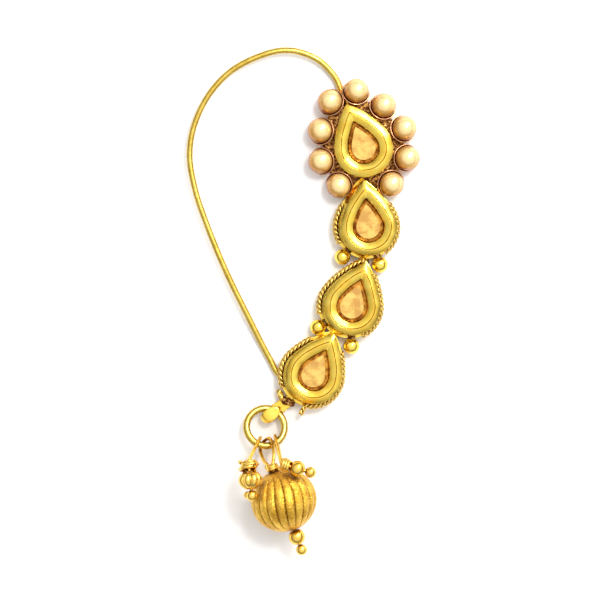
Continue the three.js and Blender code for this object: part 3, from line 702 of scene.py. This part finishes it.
def twisted(line, height, hand):
    """Strands laid round a line at a height, like a cord; hand is 1 or -1."""
    line = spline(np.column_stack([line[:, :2], np.full(len(line), height)])[::3], 60)
    length = np.linalg.norm(np.diff(line, axis=0), axis=1).sum()
    line = resample(line, max(40, int(length / ROPE_PITCH * 16)))
    tangents, normals = frames_along(line)
    binormals = np.cross(tangents, normals)
    phase = np.linspace(0, length / ROPE_PITCH * 2 * math.pi, len(line)) * hand
    parts = []
    for start in np.arange(STRANDS) * 2 * math.pi / STRANDS:
        offset = np.cos(phase + start)[:, None] * normals + np.sin(phase + start)[:, None] * binormals
        parts.append(tube(line + offset * (ROPE_RADIUS - STRAND_RADIUS), STRAND_RADIUS, 8))
    return parts


def make_ropes():
    low, high = ROPE_LOW + ROPE_RADIUS, ROPE_HIGH - ROPE_RADIUS
    for index, setting in enumerate(settings[1:], start=2):
        for side, word in ((-1, "left"), (1, "right")):
            node = f"rope_{index}_{word}"
            tail = setting is LAST and side > 0
            lower = rope_row(setting, node, side, ROPE_STEP / 2, tail)
            upper = rope_row(setting, node, side, -ROPE_STEP / 2, tail)
            parts = [*twisted(lower, low, 1), *twisted(upper, high, -1)]
            piece(f"twist_{index}_{word}", join(parts), ROPE_GOLD, [node])


# Granules, the bars under the ropes and the rough solder between the settings

def sphere(radius, place):
    vertices, faces = turned(half_circle(radius, 24, 0.002), 40)
    return vertices + place, faces


def rough_bar(start, end, radius, seed):
    """A bar with round ends and the rough skin of solder."""
    vertices, faces = tube(spline([start, (start + end) / 2, end], 24), radius, 20)
    return wobble(vertices, 0.05, 0.16, seed), faces


def make_granules():
    height = GRANULE_RADIUS + GRANULE_LIFT
    for index in (1, 2):
        upper, lower = settings[index], settings[index + 1]
        joint = upper.heading_to(lower)
        for side, word in ((1, "right"), (-1, "left")):
            out = way(joint + side * GRANULE_ANGLE)
            place = np.append(upper.place, height) + out * (DROP_RADIUS + GRANULE_GAP + GRANULE_RADIUS)
            name = f"{index + 1}_{word}"
            piece(f"granule_{name}", sphere(GRANULE_RADIUS, place), GOLD, ["setting_frame"])
            inner = np.append(upper.place, height - STUB_DROP) + out * (DROP_RADIUS - STUB_ROOT)
            stub = rough_bar(inner, place - out * 0.4, STUB_RADIUS, index)
            piece(f"solder_{name}", stub, ANTIQUE, ["setting_frame"])


def make_bail_solder():
    """The solder beside the bail and the curled end of the last rope."""
    low = np.array(SOLDER_PLACE)
    solder = rough_bar(low, low + [0.8, -0.25, 0], 0.44, 9)
    piece("solder_bail", solder, ANTIQUE, ["setting_frame"])
    curl = np.array(CURL_PLACE)
    end = rough_bar(curl, curl + [0.3, -0.7, 0], 0.36, 12)
    piece("rope_curl", end, ROPE_GOLD, ["rope_4_left"])


def make_joints():
    """Bars under the ropes, each at a heading from its upper setting to the next one's tip."""
    tip = drop_outline(DROP_GROW)[0][1]
    for index, towards in enumerate(JOINT_HEADINGS):
        upper, lower = settings[index], settings[index + 1]
        start = np.append(upper.place, JOINT_HEIGHT) + way(towards) * (DROP_RADIUS - JOINT_ROOT)
        end = lower.put([[0, tip - JOINT_ROOT, JOINT_HEIGHT]])[0]
        bar = rough_bar(start, end, JOINT_RADIUS, index + 5)
        piece(f"joint_{index + 1}", bar, ANTIQUE, ["setting_frame"])


# Nose wire: the same route as in the part's source

LOOP_WIDTH = 18.8
LOOP_RISE = 0.9
WIRE_HEIGHT = SURFACE_LIFT + WIRE_RADIUS
WIRE_START = (0.12, 0.62)
WIRE_END = (-0.3, -0.42)
# Shares along the line between the two ends, out from it, and up
WIRE_ROUTE = [
    (-0.071, 0.095, 0), (-0.1, 0.135, 0), (-0.14, 0.186, 0.08), (-0.187, 0.301, 0.3),
    (-0.204, 0.421, 0.45), (-0.201, 0.524, 0.6), (-0.175, 0.639, 0.75), (-0.089, 0.832, 0.9),
    (0.018, 0.946, 1), (0.147, 1, 1), (0.26, 0.988, 1), (0.38, 0.908, 1), (0.489, 0.799, 0.95),
    (0.649, 0.613, 0.8), (0.807, 0.402, 0.4), (0.937, 0.221, 0), (0.991, 0.133, 0),
]


def make_nose_wire():
    tip = drop_outline(DROP_GROW)[0][1]
    start = settings[0].put([[WIRE_START[0] * DROP_RADIUS, WIRE_START[1] * tip, WIRE_HEIGHT]])[0]
    end = LAST.put([[WIRE_END[0] * DROP_RADIUS, WIRE_END[1] * DROP_RADIUS, WIRE_HEIGHT]])[0]
    line = end - start
    out = unit([line[1], -line[0], 0])
    points = [start + line * along + out * LOOP_WIDTH * share for along, share, _ in WIRE_ROUTE]
    for point, (_, _, rise) in zip(points, WIRE_ROUTE):
        point[2] = WIRE_HEIGHT + rise * LOOP_RISE
    route = spline([start, *points, end], 420)
    piece("nose_wire_piece", tube(route, WIRE_RADIUS, 24), WIRE_GOLD, ["nose_wire"])


# Bail: a strap folded round the jump ring, with a rounded fold and a rounded free end

FOLD_INNER = RING_WIRE + BAIL_PLAY
FOLD_HEIGHT = SURFACE_LIFT + BAIL_THICK + FOLD_INNER
BAIL_END = DROP_RADIUS + BAIL_LENGTH
BAIL_CROSS = BAIL_END - BAIL_THICK - BAIL_SLACK - RING_WIRE


def rounded_end(half, distance):
    """Half the width at a distance from a round end."""
    left = max(0.0, 1 - max(0.0, distance) / BAIL_ROUND)
    return half * math.sqrt(1 - left ** 2)


def bail_half_width(along, on_top):
    """Half the strap's width at a distance from the setting's middle."""
    half = BAIL_WIDTH / 2
    if along > BAIL_END - BAIL_ROUND:
        return rounded_end(half, BAIL_END - along)
    if on_top:
        return rounded_end(half, along - (BAIL_END - BAIL_RETURN))
    share = min(1.0, max(0.0, (along - DROP_RADIUS) / (BAIL_CROSS - DROP_RADIUS)))
    return BAIL_NECK / 2 + (half - BAIL_NECK / 2) * share


def bail_route():
    """The strap's middle line, seen from the side: out along the surface, round the fold and back."""
    middle = FOLD_INNER + BAIL_THICK / 2
    bend = BAIL_END - BAIL_THICK - FOLD_INNER
    low, high = FOLD_HEIGHT - middle, FOLD_HEIGHT + middle
    free = BAIL_END - BAIL_RETURN + 0.02
    route = [(DROP_RADIUS - BAIL_ROOT, low), (DROP_RADIUS + 1.2, low), (bend, low)]
    for i in range(1, 8):
        angle = -math.pi / 2 + math.pi * i / 8
        route.append((bend + middle * math.cos(angle), FOLD_HEIGHT + middle * math.sin(angle)))
    route += [(bend, high), (BAIL_CROSS, high), (BAIL_CROSS - RING_WIRE, high - 0.05), (free, high - 0.3)]
    return spline([np.array([a, 0, z]) for a, z in route], 130)


def make_bail():
    line = bail_route()
    tangents, _ = frames_along(line)
    flat, edge = 0.88, 0.2
    section = [(-1, -edge), (-flat, -0.5), (flat, -0.5), (1, -edge),
               (1, edge), (flat, 0.5), (-flat, 0.5), (-1, edge)]
    vertices = []
    bent = len(line) // 2
    for i, (point, tangent) in enumerate(zip(line, tangents)):
        half = max(0.03, bail_half_width(point[0], i > bent))
        normal = np.cross(tangent, [0, 1, 0])
        for across, thick in section:
            vertices.append(point + np.array([0, across * half, 0]) + normal * thick * BAIL_THICK)
    faces = capped_faces(len(line), len(section))
    along, side = way(BAIL_HEADING), way(BAIL_HEADING + 90)
    vertices = np.array(vertices)
    placed = (np.append(LAST.place, 0) + side * BAIL_OFFSET + vertices[:, :1] * along
              + vertices[:, 1:2] * side + vertices[:, 2:] * UP)
    obj = piece("bail", (wobble(placed, 0.012, 0.7, 0.0), faces), GOLD, ["setting_frame"])
    soft = obj.modifiers.new("round", "SUBSURF")
    soft.levels = soft.render_levels = 1


# Jump ring

RING_HEADING = 239
RING_TILT = 15
ring_low, ring_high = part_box("jump_ring")
RING_CENTRE = np.array((ring_low + ring_high) / 2) / MM


def ring_turn(vector):
    """From the ring's own flat plane to its tilted one."""
    axis = way(RING_HEADING - 90)
    return np.array(Quaternion(Vector(axis), math.radians(RING_TILT)) @ Vector(vector))


def ring_point(angle):
    return RING_CENTRE + ring_turn(way(angle)) * RING_RADIUS


def make_jump_ring():
    """The ring, with the fine seam where its wire's two ends meet."""
    points = [ring_point(15 + 358 * i / 200) for i in range(201)]
    piece("jump_ring_piece", tube(points, RING_WIRE, 24), WIRE_GOLD, ["jump_ring"])


# Beads and pins

BORE = 0.31
BEAD_LIP = 0.19
HEAD_RADIUS = 0.67
GRAIN_RADIUS = 0.43
PIECE_GAP = 0.12
EYE_GAP = 0.15
MIDDLE_HEADING = 289.6
LEFT_HEADING = 276
RIGHT_HEADING = 343.5
# Diameter and length of each bead, then flutes, groove depth, sharpness and twist in radians
MELON_SIZE = (7.9, 7.4)
MELON_FLUTES = (20, 0.34, 0.36, math.radians(24))
SPACER_SIZE = (1.96, 1.96)
FLUTED_SIZE = (2.9, 2.3)
FLUTED_LOBES = (8, 0.26, 0.75, 0)
PLAIN_SIZE = (1.9, 1.9)


def bead_centre(node):
    low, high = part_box(node)
    return np.array((low + high) / 2) / MM


def bead_reach(diameter, length):
    """From a bead's middle to the flat lip round its bore."""
    return length / 2 * math.sin(math.acos((BORE + BEAD_LIP) / (diameter / 2)))


def bead_mesh(diameter, length, flutes=0, depth=0.0, sharp=1.0, twist=0.0, sides=48, rows=28):
    """A bored bead with rounded lips; its flutes are drawn in between sharp or soft grooves."""
    edge = math.acos((BORE + BEAD_LIP) / (diameter / 2))
    reach = bead_reach(diameter, length)
    profile = [(BORE, -reach)]
    for i in range(rows + 1):
        angle = -edge + 2 * edge * i / rows
        profile.append((diameter / 2 * math.cos(angle), length / 2 * math.sin(angle)))
    profile.append((BORE, reach))
    vertices, faces = turned(profile, sides, closed=True)
    if flutes:
        radial = np.hypot(vertices[:, 0], vertices[:, 1])
        around = np.arctan2(vertices[:, 1], vertices[:, 0])
        ridge = np.abs(np.sin(around * flutes / 2)) ** sharp
        share = np.where(radial > BORE + BEAD_LIP / 2, 1 - depth / (diameter / 2) * (1 - ridge), 1.0)
        turn = around + twist * vertices[:, 2] / length
        vertices = np.column_stack([radial * share * np.cos(turn), radial * share * np.sin(turn),
                                    vertices[:, 2]])
    return vertices, faces


def eye_line(base, ring_angle, roll):
    """The wire loop from a pin round the jump ring and back."""
    target = ring_point(ring_angle)
    line = target - base
    along = unit(line)
    across = unit(np.cross(ring_turn(way(ring_angle + 90)), along))
    across = np.array(Quaternion(Vector(along), math.radians(roll)) @ Vector(across))
    clear = RING_WIRE + PIN_RADIUS + EYE_GAP
    half = (clear + 0.04) / math.cos(math.radians(roll))
    shares = [
        (0, 0, 0.25), (0.4, 0, 0.85), (1, 0, 1), (1, 0.75, 0.75), (1, 1, 0),
        (1, 0.75, -0.75), (1, 0, -1), (0.4, 0, -0.85), (0, 0, -0.25),
    ]
    return spline([base + line * reach + along * past * clear + across * half * out
                   for reach, past, out in shares], 90)


def coil_line(place, axis, start, turns, radius, spread):
    """A helix of touching turns, opened out a little by spread as hand-wound wire is."""
    side = unit(np.cross(axis, UP))
    other = np.cross(axis, side)
    steps = int(turns * 30)
    points = []
    for i in range(steps + 1):
        share = i / steps
        angle = 2 * math.pi * turns * share
        along = start + PIN_RADIUS + (turns - 1) * 2 * PIN_RADIUS * share
        reach = radius * (1 + spread * math.sin(angle * 0.7 + 1.1))
        lean = spread * radius * math.sin(angle)
        out = math.cos(angle) * side + math.sin(angle) * other
        points.append(place + axis * (along + lean) + reach * out)
    return np.array(points)


def make_pin(name, node, bead, axis, reach, stack, turns, ring_angle, roll, extra=(), wrap=(0.6, 0.1)):
    """A pin through its beads, with a head at one end and a wrap and a loop at the other.

    The beads span -reach to reach + stack along the axis, and wrap is the wrap's radius and looseness.
    """
    coil_start = -(reach + PIECE_GAP + turns * 2 * PIN_RADIUS)
    head_at = reach + stack + PIECE_GAP + HEAD_RADIUS
    middle = (coil_start + head_at) / 2
    shaft = tube([bead + axis * (coil_start + PIN_RADIUS), bead + axis * middle, bead + axis * head_at],
                 PIN_RADIUS, 16)
    coil = coil_line(bead, axis, coil_start, turns + 0.4, *wrap)
    parts = [
        shaft,
        sphere(HEAD_RADIUS, bead + axis * head_at),
        tube(coil, PIN_RADIUS, 12),
        tube(eye_line(bead + axis * (coil_start + PIN_RADIUS), ring_angle, roll), PIN_RADIUS, 12),
        *extra,
    ]
    piece(name, join(parts), BEAD_GOLD, [node])


def make_middle_drop():
    axis = way(MIDDLE_HEADING, -3)
    melon = bead_centre("melon_bead")
    mesh = bead_mesh(*MELON_SIZE, *MELON_FLUTES, 400, 64)
    piece("melon_bead_piece", aim(mesh, melon, axis), MELON_GOLD, ["melon_bead"])
    spacer = aim(bead_mesh(*SPACER_SIZE), bead_centre("spacer_bead"), axis)
    piece("spacer_bead_piece", spacer, BEAD_GOLD, ["spacer_bead"])
    stack = PIECE_GAP + 2 * bead_reach(*SPACER_SIZE)
    make_pin("middle_pin_piece", "middle_pin", melon, axis, bead_reach(*MELON_SIZE), stack, 2, 270, 35)


def make_left_drop():
    axis = way(LEFT_HEADING, 4)
    place = bead_centre("fluted_bead")
    fluted = bead_mesh(*FLUTED_SIZE, *FLUTED_LOBES, 160, 36)
    piece("fluted_bead_piece", aim(fluted, place, axis), BEAD_GOLD, ["fluted_bead"])
    reach = bead_reach(*FLUTED_SIZE)
    head = place + axis * (reach + PIECE_GAP + HEAD_RADIUS)
    grain = sphere(GRAIN_RADIUS, head + way(LEFT_HEADING - 105, -30) * HEAD_RADIUS)
    make_pin("left_pin_piece", "left_pin", place, axis, reach, 0, 3, 243, 0, [grain], (0.86, 0.2))


def make_right_drop():
    axis = way(RIGHT_HEADING, -2)
    place = bead_centre("plain_bead")
    piece("plain_bead_piece", aim(bead_mesh(*PLAIN_SIZE), place, axis), BEAD_GOLD, ["plain_bead"])
    make_pin("right_pin_piece", "right_pin", place, axis, bead_reach(*PLAIN_SIZE), 0, 3, 306, 12)


# Surface, light and camera

def make_stage():
    bpy.ops.mesh.primitive_plane_add(size=1.6, location=(0, 0, -0.02 * MM))
    floor = bpy.context.object
    floor.name = "floor"
    material, tree, shader = new_material("white surface")
    color = ramp(tree, noise(tree, 40, 2), [(0.3, (0.93, 0.93, 0.94)), (0.7, (0.95, 0.95, 0.955))])
    tree.links.new(color, shader.inputs["Base Color"])
    shader.inputs["Roughness"].default_value = 0.9
    floor.data.materials.append(material)


def area_light(name, place, size, power, color):
    """A rectangular light, aimed at the jewel's middle."""
    light = bpy.data.lights.new(name, "AREA")
    light.shape = "RECTANGLE"
    light.size, light.size_y = size
    light.energy = power
    light.color = color
    obj = bpy.data.objects.new(name, light)
    bpy.context.scene.collection.objects.link(obj)
    obj.location = place
    obj.rotation_euler = (-Vector(place)).to_track_quat("-Z", "Y").to_euler()


def make_light():
    """A tent of light, dark at the horizon and brightest on the upper right, with a soft window."""
    world = bpy.data.worlds.new("studio")
    world.use_nodes = True
    tree = world.node_tree
    way_in = tree.nodes.new("ShaderNodeTexCoord").outputs["Generated"]
    height = ramp(tree, dot(tree, way_in, (0, 0, 1)), [
        (0.0, (0.06, 0.05, 0.04)), (0.25, (0.16, 0.13, 0.1)), (0.5, (0.74, 0.72, 0.68)), (0.8, (1, 1, 1)),
    ])
    background = tree.nodes["Background"]
    tree.links.new(height, background.inputs["Color"])
    strength = map_range(tree, dot(tree, way_in, (0.55, 0.5, 0.35)), -0.15, 0.8, 0.98, 1.46)
    tree.links.new(strength, background.inputs["Strength"])
    bpy.context.scene.world = world
    area_light("tent", (0.16, 0.18, 0.3), (0.3, 0.3), 0.3, (1.0, 1.0, 1.0))
    area_light("window", (0.1, 0.13, 0.34), (0.07, 0.08), 0.55, (1.0, 0.98, 0.95))
    area_light("strip", (0.219, 0.26, 0.21), (0.22, 0.1), 0.58, (1.0, 0.99, 0.96))


# The photo's picture size, its scale, and the pixel where the jewel's middle is
PICTURE = 600
PIXEL = 0.12 * MM
MIDDLE_PIXEL = (303.2, 300.5)
CAMERA_HEIGHT = 0.42


def make_camera():
    """A camera straight above, with the photo's scale and framing."""
    camera = bpy.data.cameras.new("camera")
    camera.sensor_width = 36
    camera.lens = camera.sensor_width * CAMERA_HEIGHT / (PICTURE * PIXEL)
    camera.clip_start = 0.01
    obj = bpy.data.objects.new("camera", camera)
    bpy.context.scene.collection.objects.link(obj)
    x, y = MIDDLE_PIXEL
    obj.location = ((PICTURE / 2 - x) * PIXEL, (y - PICTURE / 2) * PIXEL, CAMERA_HEIGHT)
    bpy.context.scene.camera = obj
    bpy.context.scene.view_settings.view_transform = "Standard"


make_camera()
make_settings()
make_stones()
make_flower()
make_ropes()
make_granules()
make_joints()
make_bail_solder()
make_nose_wire()
make_bail()
make_jump_ring()
make_middle_drop()
make_left_drop()
make_right_drop()
make_stage()
make_light()
